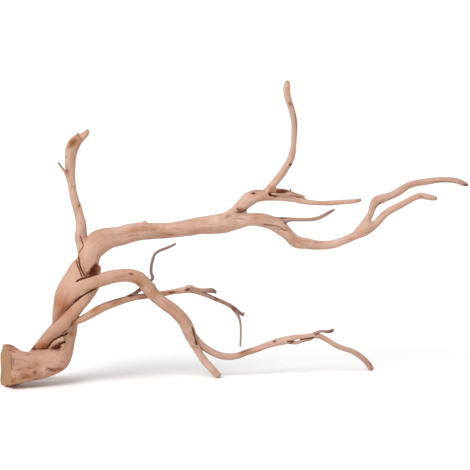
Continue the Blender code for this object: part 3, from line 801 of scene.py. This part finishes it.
runner = {
    "piece": "runnerWood", "node": "runner", "standing": True,
    "limbs": {
        "runner": {"blend": 1.2, "seam": 0.3, "grey": (0.1, 0.3, 0.6), "stations": [
            (186, 63, 56, 5), (189.5, 56, 58, 5), (194, 49.9, 60, 4.7), (199.8, 44.3, 61, 4.1),
            (206.8, 39.2, 63, 3.7), (216, 34.1, 65, 3.5), (226, 31.5, 67, 3.3), (237, 32.1, 69, 3.3),
            (247, 35.8, 72, 3.2), (258, 39.3, 74, 3.3), (267, 42.6, 76, 3.3), (278, 45.8, 78, 3.8),
            (287, 47.8, 80, 4.1), (296, 50.8, 82, 2.6), (304, 51.4, 84, 2.5), (312, 52.2, 86, 2.7),
            (320, 51.6, 88, 2.7), (328, 47.5, 89, 2.7), (336, 42.6, 90.5, 2.6), (344, 39.4, 92.5, 2.4),
            (351, 37.2, 94.5, 2.5), (358.2, 33.3, 96.5, 2.6), (364.4, 28.2, 98.5, 2.6),
            (369.2, 22.3, 100.5, 2.6), (371.2, 18.6, 101.5, 2.5),
        ]},
        "slitStrand": {"blend": 0.8, "seam": 0.8, "grey": (0.3, 0.3, 0.5), "stations": [
            (285, 46.5, 80, 2.4), (292, 45.2, 81, 1.6), (297, 45.4, 82, 1.6), (301, 46.8, 83, 1.7),
            (305, 48.2, 84, 1.8), (310, 49, 85, 1.7), (313, 51, 86, 1.6),
        ]},
        "curlTwig": {"blend": 1, "seam": 0.4, "grey": (0.5, 1.0, 0.1), "stations": [
            (314, 53.5, 86, 1.9), (318, 56.1, 87, 1.6), (323, 56.7, 88, 1.4), (328, 56.2, 89, 1.7),
            (332, 57.3, 90, 1.7), (333.6, 58.8, 90, 0.9),
        ]},
    },
    "grown": [("runner", 4, None), ("slitStrand",), ("curlTwig",)],
    "cracksAndShade": [
        ([(214, 350.3), (216.5, 351.3), (221, 352.8)], 0.5, 0.6),
        ([(287, 341.8), (290.5, 341.3), (293, 341)], 0.8, 1.4),
        ([(355, 352.4), (360, 355.6), (365, 359)], 0.4, 0.3),
    ],
    "stainsAndShade": [
        ("warm", (247, 353), (8, 2.5), 15, 0.45), ("dark", (245, 351.3), (8, 1), 18, 0.25),
        ("dark", (274.3, 341.4), (1.7, 1), 0, 0.4), ("warm", (318, 335), (5, 2), -25, 0.4),
        ("dark", (329, 331.3), (5, 1.8), 0, 0.28), ("dark", (358, 354), (6, 0.9), -33, 0.15),
        ("dark", (370.5, 363.5), (2.6, 0.9), -60, 0.45), ("warm", (365, 361), (5, 2), -48, 0.3),
        ("grey", (371.5, 369), (2.5, 2), 0, 0.7),
    ],
}

mainArm = {
    "piece": "mainArmWood", "node": "main_arm", "voxel": 0.55,
    "limbs": {
        "mainArm": {"blend": 3, "seam": 0.0, "stations": [
            (86, 106, 38, 8.6), (88, 118, 38, 9), (89, 128, 39, 9.7), (91.5, 136.6, 41, 10.6),
            (97.3, 144.4, 43, 12), (104.2, 148.2, 45, 11.2), (112, 150.4, 47, 9.9), (120, 152, 49, 9.5),
            (136, 156.2, 52, 8.9), (152, 157.2, 55, 8.2), (168, 157.6, 58, 8.1), (184, 160, 61, 8.1),
            (200, 162.4, 64, 8.7), (213, 163.4, 66, 8.9), (222, 163.8, 67.3, 7),
        ]},
        "nub": {"blend": 4, "stations": [
            (143.5, 160, 52, 4.2), (144.4, 164.6, 51, 2.4), (145, 167.3, 51, 0.9),
        ]},
    },
    "grown": [("mainArm", 5, None), ("nub",), ("lowerFork", None, 4), ("upperFork", None, 4)],
    "cracksAndShade": [
        ([(128, 236.4), (132, 235.9), (136, 235.4), (140, 234.4)], 0.6, 0.5),
        ([(150, 231), (153, 231.2), (156, 230.8)], 0.6, 0.3),
        ([(236.5, 212.4), (240, 212.6), (243, 211.6), (246.5, 209)], 0.9, 1.3),
        ([(236, 207.8), (238.6, 209.6), (240.5, 212)], 0.7, 1.0),
        ([(231, 218.8), (236, 218.6), (241, 218.8), (246, 219.6)], 0.5, 0.5),
        ([(233.5, 222.2), (237.5, 221.4)], 0.7, 0.5), ([(234.5, 225), (238, 224.2)], 0.6, 0.4),
        ([(160, 233.4), (166, 234.4), (173, 235)], 0.6, 0.3),
        ([(112, 231.5), (118, 231), (124, 230.4)], 0.5, 0.25),
        ([(170, 228.4), (178, 228.8), (184, 228.4)], 0.6, 0.25),
        ([(205, 225), (212, 224.6), (220, 224.8)], 0.5, 0.25),
    ],
    "bumps": [
        ((244.5, 211.5, 70), 2.4, 1.8, 0.2), ((128, 227, 44), 5, 0.5, 0.0), ((176, 236, 50), 6, 0.6, 0.0),
    ],
    "stainsAndShade": [
        ("dark", (114, 237), (1.8, 1.3), 0, 0.16), ("warm", (137, 229.5), (11, 3), 10, 0.55),
        ("warm", (155, 228.5), (9, 2), 0, 0.45), ("dark", (146, 230.5), (7, 1.8), 0, 0.15),
        ("warm", (165, 233.5), (11, 2.5), 0, 0.5), ("dark", (177, 228.5), (7, 1.3), 0, 0.15),
        ("dark", (171, 235), (5, 1.2), 0, 0.22), ("warm", (200, 230), (30, 3), 2, 0.25),
        # the dark patch at (240, 210) is painted shade in the crotch of the fork
        ("dark", (240, 210), (5, 2.6), 15, 0.3), ("dark", (228, 216), (4, 1.8), 35, 0.22),
        ("dark", (120, 235), (9, 3), 5, 0.1), ("pale", (243, 201), (4, 3), 45, 0.5),
    ],
}

upperFork = {
    "piece": "upperForkWood", "node": "upper_fork",
    "limbs": {
        "upperFork": {"blend": 4, "seam": 0.5, "seamFrom": (16, 24), "stations": [
            (222, 166, 68, 7.2), (230.5, 171.5, 69, 6.7), (236.7, 176.7, 70, 6.1), (242.7, 183.2, 71, 6.3),
            (249, 188.7, 72, 6.9), (257, 192, 74, 5.8), (264, 192.6, 75, 4.6), (271, 191.8, 76, 3.6),
        ]},
        "barkSpike": {"blend": 0.6, "grey": (0.9, 0.9, 0.5), "stations": [
            (290.6, 194.5, 79, 0.9), (290.6, 197, 79, 0.7), (290.8, 199.4, 79, 0.5),
        ]},
        "barkFlake": {"blend": 1, "seam": 0.5, "stations": [
            (268, 194.6, 75, 2.6), (274, 195.5, 76, 3.3), (281, 195.6, 77, 3.8), (288, 194.7, 78, 3.2),
            (295, 193, 80, 2.3), (301, 191.5, 82, 2.1), (304.4, 190.3, 83, 1.6),
        ]},
    },
    "grown": [
        ("upperFork", 4, None), ("tallTwig", None, 3), ("reachingTwig", None, 6), ("barkFlake",),
        ("barkSpike",),
    ],
    "cracksAndShade": [
        ([(250.5, 192.6), (253, 193.5), (256, 193)], 0.8, 0.9),
        ([(269.2, 191.5), (268.9, 194), (270.5, 195.7), (275, 196), (280, 195.5)], 0.8, 1.5),
        ([(270, 192.2), (276, 192.6), (282, 193.2), (287, 192.6)], 0.6, 0.9),
        ([(288, 195.5), (293, 195.8), (297, 196.5), (301, 197.5), (304.5, 198.6)], 0.6, 0.7),
    ],
    "stainsAndShade": [
        ("dark", (253.5, 193.3), (2.6, 1), 0, 0.5), ("dark", (282, 191.4), (7, 2), 4, 0.65),
        ("dark", (270.3, 194), (1.6, 1.8), 0, 0.5), ("warm", (271, 190), (2, 3), 0, 0.7),
        ("warm", (282, 190), (9, 2.6), 4, 0.75), ("dark", (300, 197), (4, 0.8), 14, 0.3),
        ("pale", (277, 194.5), (3, 0.7), 0, 0.9), ("warm", (296, 194.5), (8, 2), -15, 0.5),
        ("warm", (265, 197), (6, 2), 0, 0.25), ("dark", (256, 190.8), (5, 0.8), 0, 0.25),
    ],
}

tallTwig = {
    "piece": "tallTwigWood", "node": "tall_twig",
    "limbs": {
        "tallTwig": {"blend": 3, "stations": [
            (261, 192, 75, 4.1), (265.6, 195, 76, 4.1), (270.1, 200.2, 76, 3.9), (274.9, 205.5, 76, 3.8),
            (279.4, 211.1, 75, 3.9), (284.3, 218, 74, 3.8), (289.2, 226, 72, 3.7), (292.2, 234, 70, 3.5),
            (293.6, 244, 67, 3.1), (294.4, 254, 64, 3), (294.4, 264, 61, 3), (292.9, 274, 58, 3),
            (290.3, 283, 56, 3.1), (287.7, 291, 54, 3.2), (286.8, 298, 52, 3.5), (287.1, 303.2, 51, 3.1),
            (287.5, 307, 50, 1.7),
        ]},
    },
    "grown": [("tallTwig", 3, None)],
    "bumps": [((295, 158, 61), 2.2, 1.0, 0.1)],
    "stainsAndShade": [
        ("dark", (291, 164.5), (1.8, 1.1), 30, 0.9), ("dark", (290, 104), (1.6, 3), 30, 0.3),
        ("warm", (292.5, 154), (2, 7), 0, 0.35), ("warm", (287, 89), (2, 4), 0, 0.3),
        ("dark", (296, 120), (0.8, 14), 5, 0.2), ("grey", (287.5, 81.5), (4, 2), 0, 0.45),
    ],
}

reachingTwig = {
    "piece": "reachingTwigWood", "node": "reaching_twig",
    "limbs": {
        "reachingTwig": {"blend": 2, "seam": 0.05, "stations": [
            (260, 191.6, 75, 4.1), (267, 191.2, 76, 3.9), (274, 190.1, 78, 3), (284, 189.7, 80, 2.9),
            (294, 188.9, 82, 3), (302, 187, 84, 2.9), (310, 185.6, 86, 2.5), (320, 184.9, 88, 2.2),
            (330, 185, 90, 2.4), (340, 185.7, 92, 2.2), (350, 186.4, 94, 2.2), (357, 187.2, 96, 2),
            (361, 188.2, 97, 1.4),
        ]},
    },
    "grown": [("reachingTwig", 6, None)],
    "stainsAndShade": [("grey", (359.5, 199.6), (3, 3), 0, 0.5), ("dark", (361, 199.8), (1.5, 2), 0, 0.12)],
}

lowerFork = {
    "piece": "lowerForkWood", "node": "lower_fork",
    "limbs": {
        "lowerFork": {"blend": 4, "seam": 0.0, "stations": [
            (210, 163, 65.5, 7.2), (217, 163.6, 66.6, 8.9), (226, 164, 68, 8.6), (238, 166, 69, 6.9),
            (250, 168.6, 70.5, 6.2), (262, 167.8, 73, 6.7), (272, 165, 76, 6.7), (280.6, 160.2, 79, 6.7),
            (288.6, 152.9, 81, 5.3), (296, 146.6, 83, 5.7), (306, 144.5, 85, 5), (318, 142.9, 88, 4.3),
            (332, 143.7, 91, 3.9), (344, 147.4, 93, 3.7), (354, 151.8, 95, 3.9), (362, 157.2, 97, 5),
            (367, 163, 98, 4.2),
        ]},
        "sideTwig": {"blend": 2, "grey": (0.4, 0.8, 0.6), "stations": [
            (274, 167, 77, 4), (284, 168.3, 79, 2.6), (294, 168.5, 81, 1.8), (306, 168.4, 84, 1.8),
            (314, 169, 86, 1.8), (321, 171, 88, 1.7), (328, 174.9, 90, 1.6), (334.5, 178.5, 92, 0.9),
        ]},
    },
    "grown": [("lowerFork", 4, None), ("sideTwig",), ("farUpperTwig", None, 3), ("farLowerTwig", None, 3)],
    "cracksAndShade": [
        ([(262, 224.2), (266, 224.6), (272, 225.5), (278, 226.4), (281, 228), (284, 230.2),
          (288, 231.4)], 0.7, 1.0),
        ([(276, 228), (279.5, 229.6), (281.3, 229.6)], 0.7, 0.8),
        ([(291, 242), (295, 243), (300, 242.6)], 0.5, 0.3),
        ([(314, 242.2), (318, 243), (323, 242.6)], 0.7, 0.5),
        ([(300, 239.8), (306, 241), (311, 241.3)], 0.5, 0.4),
    ],
    "bumps": [((289.5, 241, 76), 4, 1.0, 0.0), ((287, 221.6, 79), 2.6, 1.1, 0.1)],
    "stainsAndShade": [
        ("warm", (256, 217.5), (7, 3), 0, 0.45), ("warm", (266, 220), (12, 3), 0, 0.2),
        ("warm", (286, 229), (5, 2), -30, 0.5), ("dark", (285, 223), (1.2, 2), 0, 0.3),
        ("dark", (283, 218.2), (3.5, 0.8), 0, 0.45), ("dark", (318, 242.8), (5, 1.1), 0, 0.12),
        ("warm", (297, 240.5), (9, 3), -12, 0.4), ("warm", (350, 238.8), (6, 2), 15, 0.45),
        ("warm", (361, 232), (5, 3), 25, 0.4), ("pale", (278, 227.7), (3, 0.7), -10, 0.8),
        ("pale", (285.5, 232), (3, 0.8), -25, 0.7), ("dark", (353, 233.8), (5, 0.8), 30, 0.12),
    ],
}

farUpperTwig = {
    "piece": "farUpperTwigWood", "node": "far_upper_twig",
    "limbs": {
        "farUpperTwig": {"blend": 3, "seam": 0.0, "grey": (0.1, 0.25, 0.7), "stations": [
            (362, 157.5, 97, 5), (366, 166, 99, 3.9), (370, 173, 100, 3.1), (372.1, 179, 101, 3.2),
            (375, 185.8, 102, 4.3), (380.6, 188.8, 103, 4.5), (386, 190.8, 104, 3.9), (393, 193.3, 106, 3.5),
            (400, 197.3, 108, 3.7), (408, 202.3, 110, 3.4), (416, 204.8, 113, 3.1), (424, 206, 116, 3.1),
            (432, 207.3, 118, 3), (440, 208.2, 120, 2.9), (450, 208.1, 123, 2.9), (458, 206.7, 125, 2.8),
            (463.5, 204.5, 126, 2.6), (467.6, 203, 127, 1.5),
        ]},
    },
    "grown": [("farUpperTwig", 3, None)],
    "stainsAndShade": [
        ("dark", (466.7, 185.1), (2.6, 1.4), 0, 0.4), ("grey", (463, 183.5), (6, 3), -20, 0.5),
        ("warm", (376, 199), (3.5, 5), 0, 0.4), ("dark", (369.5, 217), (1, 4), 10, 0.12),
        ("dark", (440, 181.8), (14, 0.8), 0, 0.22), ("warm", (408, 186), (5, 2), 30, 0.3),
        ("dark", (378, 205), (4, 0.8), 45, 0.3),
    ],
}

farLowerTwig = {
    "piece": "farLowerTwigWood", "node": "far_lower_twig",
    "limbs": {
        "farLowerTwig": {"blend": 3, "seam": 0.0, "grey": (0.1, 0.25, 0.7), "stations": [
            (360, 156, 97, 4.5), (368, 159.1, 98, 4.6), (376, 164.3, 99, 3.6), (384, 173, 98, 3.4),
            (392, 178.6, 96, 3.3), (400, 182.6, 93, 3.2), (408, 187, 90, 3), (415, 190.8, 87, 3.1),
            (421, 192.4, 85, 3.1), (428, 191, 83, 2.9), (434, 190, 81, 2.5), (436.3, 189.5, 80, 1.8),
        ]},
    },
    "grown": [("farLowerTwig", 3, None)],
    "stainsAndShade": [
        ("dark", (421, 196.5), (3.2, 1.6), -20, 0.2), ("grey", (436, 199), (2.5, 2.5), 0, 0.6),
        ("warm", (383, 213), (4, 2), 40, 0.35), ("dark", (411, 199.5), (6, 0.8), 25, 0.1),
    ],
}

uprightBranch = {
    "piece": "uprightBranchWood", "node": "upright_branch",
    "limbs": {
        "upright": {"blend": 3, "seam": 0.0, "stations": [
            (86, 128, 46, 7.4), (84.9, 136, 49, 6.6), (82.6, 143, 52, 6.2), (81.5, 152, 54, 5.8),
            (81.3, 158, 55, 5), (80.8, 165, 56, 4.7), (79.3, 172, 57, 4.3), (77.4, 180, 58, 4.3),
            (74.8, 188, 59, 4.1), (72.8, 197, 60, 3.8), (71.5, 206, 61, 4), (70, 214, 62, 4.9),
            (70, 222, 62, 5.3), (70.5, 230, 62, 5.5), (71.5, 238, 61, 6.1), (74, 244, 60, 6.2),
            (77.6, 247.9, 59, 5.3), (82.2, 251, 58, 3.7), (86, 254.6, 57, 2.9), (88, 257.6, 56, 1.9),
        ]},
        "lobe": {"blend": 2.5, "seam": 0.0, "stations": [
            (80.5, 160, 53, 3.4), (79, 153, 51, 4), (79.2, 147.6, 50, 3.5), (83, 141, 49, 2.4),
        ]},
        "notchSpike": {"blend": 0.8, "stations": [
            (79.5, 250, 57, 1.4), (78.4, 252.6, 57, 1.1), (77.3, 254.8, 57, 0.7),
        ]},
        "fineTwig": {"blend": 1.5, "grey": (0.0, 0.8, 0.25), "stations": [
            (69, 211, 60, 2.1), (66, 214.6, 58, 1.5), (62.6, 219.5, 56, 1.1), (58.3, 225.6, 54, 0.8),
        ]},
    },
    "grown": [("upright", 5, None), ("fineTwig",), ("notchSpike",)],
    "cracksAndShade": [
        ([(77.4, 134), (78.6, 136.2), (80.5, 138.6), (82, 140.4)], 0.6, 0.8),
        ([(75.5, 207.8), (78, 208.4), (80.4, 206.6)], 0.5, 0.5),
        ([(70.6, 150), (70.8, 158), (71.6, 166), (73, 176)], 0.5, 0.25),
        ([(68.6, 176), (70.5, 184), (72, 190)], 0.5, 0.25),
    ],
    "bumps": [((69, 188, 56), 3, 0.5, 0.0), ((66.5, 148, 56), 3, 0.6, 0.0), ((80.5, 141, 56), 3, -0.6, 0.0)],
    "stainsAndShade": [
        ("warm", (73, 142.3), (7.4, 3.8), 48, 1.0), ("dark", (73.3, 142), (6.4, 3.2), 48, 0.26),
        ("dark", (77.6, 134), (1.2, 1.2), 0, 0.35), ("dark", (67, 171), (1.2, 1.7), -30, 0.34),
        ("warm", (67.8, 173), (2, 3), -45, 0.7), ("dark", (73.5, 186.5), (3, 1.4), 0, 0.16),
        ("dark", (79.4, 205.3), (1.0, 1.7), -20, 0.38), ("dark", (81, 223.5), (0.8, 2), -10, 0.2),
        ("dark", (66.4, 157), (0.9, 1.6), 0, 0.2), ("warm", (72, 154), (2.5, 6), 0, 0.3),
        ("pale", (79, 216), (2, 5), -10, 0.6),
    ],
}

sideBranch = {
    "piece": "sideBranchWood", "node": "side_branch",
    "limbs": {
        "sideBranch": {"blend": 2, "seam": 0.5, "stations": [
            (66, 66, 20, 6), (73, 67, 18, 4.6), (80, 68, 18, 3.3), (88, 72, 20, 3.6), (96, 76.8, 24, 4),
            (104, 80.8, 29, 4), (112, 84, 34, 3.7), (120, 86.7, 39, 3.4), (128, 89, 44, 3.2),
            (136, 90.8, 49, 3), (144, 91.8, 53, 2.8), (152, 92.9, 57, 2.7), (160, 94.1, 59, 2.7),
            (168, 95.2, 60, 2.7), (176, 96.9, 60, 2.9), (184, 98.1, 61, 3.3), (190, 98.8, 61, 3.2),
        ]},
        "brokenTwig": {"blend": 1.2, "grey": (0.2, 1.0, 0.2), "stations": [
            (187, 100.5, 61, 2.2), (191, 101.2, 60, 1.8), (196, 99.2, 60, 1.5), (203, 97.8, 60, 1.8),
            (209, 97.6, 60, 2.3), (213, 97.2, 60, 2.3), (216.3, 95.4, 60, 1.2),
        ]},
        "hookedTwig": {"blend": 1.5, "grey": (0.8, 0.9, 0.7), "stations": [
            (128, 90.5, 44, 2.3), (134, 94, 47, 1.9), (140, 98.5, 51, 1.8), (146, 103, 54, 1.7),
            (150.5, 107.2, 54, 1.6), (152.7, 110.5, 54, 1.7), (151.2, 115, 54, 1.5), (151.3, 122, 54, 1.5),
            (153.2, 130, 54, 1.4), (155.3, 134.3, 54, 1.4), (160, 137.5, 54, 1.4), (166.3, 139.8, 53, 1.4),
            (172, 142.3, 52, 1.3), (176, 144.6, 52, 0.8),
        ]},
    },
    "grown": [("sideBranch", 3, None), ("hookedTwig",), ("brokenTwig",), ("droopingTwig", None, 2)],
    "cracksAndShade": [
        ([(191, 287.6), (196, 289.2), (200, 290.2)], 0.5, 0.8),
        ([(106, 307), (112, 304.6), (119, 302.4)], 0.5, 0.4),
    ],
    "stainsAndShade": [
        ("warm", (99, 307), (7, 4), 35, 0.42), ("warm", (94, 310), (5, 3), 40, 0.4),
        ("warm", (116, 302.5), (6, 2), 18, 0.5), ("dark", (115, 300), (14, 0.8), 18, 0.35),
        ("dark", (130.5, 295.6), (3.5, 1.1), 15, 0.5), ("dark", (142, 298.5), (4, 1.5), 0, 0.25),
        ("warm", (168, 292.3), (7, 1.3), 8, 0.9), ("dark", (172, 292.2), (5, 0.9), 5, 0.45),
        ("dark", (188, 289.3), (2.6, 1.6), 15, 0.5),
    ],
}

droopingTwig = {
    "piece": "droopingTwigWood", "node": "drooping_twig",
    "limbs": {
        "droopingTwig": {"blend": 1.5, "grey": (0.45, 0.95, 0.3), "stations": [
            (190, 98.2, 61, 3.1), (199, 95.6, 62, 2.5), (208, 92.2, 63, 2.1), (216, 88.6, 64, 2.1),
            (224, 85.4, 65, 2), (232.5, 80.7, 66, 2.1), (238.4, 76.2, 67, 1.8), (243.8, 72.4, 68, 1.1),
        ]},
        "hangingTwig": {"blend": 1, "grey": (0.7, 0.8, 0.5), "stations": [
            (233, 79, 66, 1.7), (237, 74.5, 66, 1.6), (239.8, 68, 66, 1.2), (240.8, 60, 65, 1),
            (240.7, 51, 64, 0.9), (240.3, 41.4, 63, 0.9),
        ]},
        "barb": {"blend": 0.8, "grey": (0.7, 0.7, 0.5), "stations": [
            (242, 73.4, 67.6, 1.2), (244.6, 75.6, 67.6, 0.7),
        ]},
    },
    "grown": [("droopingTwig", 2, None), ("hangingTwig",), ("barb",)],
    "stainsAndShade": [
        ("dark", (233.8, 308.6), (3.5, 1.6), -40, 0.35), ("warm", (223, 302), (3.5, 1.2), -25, 0.6),
        ("dark", (216, 298.8), (3, 1.5), -30, 0.35),
    ],
}

bareWood = makeBareWood(woodLook)
sawnWood = makeSawnWood(sawnLook)

allPieces = [
    trunk, arch, archFoot, runner, mainArm, upperFork, tallTwig, reachingTwig, lowerFork,
    farUpperTwig, farLowerTwig, uprightBranch, sideBranch, droopingTwig,
]
for settings in allPieces:
    for name, limb in settings["limbs"].items():
        layLimb(name, limb)
print("laid", len(limbs), "limbs")
for settings in allPieces:
    growPiece(settings)

# Floor, light and camera
studio = {
    "floorSize": 8.0, "floorColour": (0.97, 0.97, 0.97), "floorRoughness": 0.9, "worldStrength": 0.60,
    "keyTurn": (44, 0, -38), "keySoftness": 40, "keyStrength": 2.3,
    "aim": (0.001, 0.0, 0.14557), "viewWidth": 0.470, "distance": 3.0,
}
bpy.ops.mesh.primitive_plane_add(size=studio["floorSize"], location=(0, 0, 0))
floor = bpy.context.object
floor.name = "studioFloor"
floorPaint = bpy.data.materials.new("floorPaint")
floorPaint.use_nodes = True
paint = floorPaint.node_tree.nodes["Principled BSDF"].inputs
paint["Base Color"].default_value = (*studio["floorColour"], 1)
paint["Roughness"].default_value = studio["floorRoughness"]
floor.data.materials.append(floorPaint)

scene = bpy.context.scene
world = bpy.data.worlds.new("paleStudio")
world.use_nodes = True
sky = world.node_tree.nodes["Background"].inputs
sky["Color"].default_value = (1, 1, 1, 1)
sky["Strength"].default_value = studio["worldStrength"]
scene.world = world
scene.view_settings.view_transform = "Standard"

bpy.ops.object.light_add(type="SUN", location=(-1, -1, 2))
key = bpy.context.object
key.name = "softKey"
key.rotation_euler = [math.radians(turn) for turn in studio["keyTurn"]]
key.data.angle = math.radians(studio["keySoftness"])
key.data.energy = studio["keyStrength"]

aim = Vector(studio["aim"])
bpy.ops.object.camera_add(rotation=(math.pi / 2 - tilt, 0, 0))
camera = bpy.context.object
camera.location = aim - studio["distance"] * Vector(viewLine)
camera.data.type = "ORTHO"
camera.data.ortho_scale = studio["viewWidth"]
camera.data.clip_end = 20
scene.camera = camera
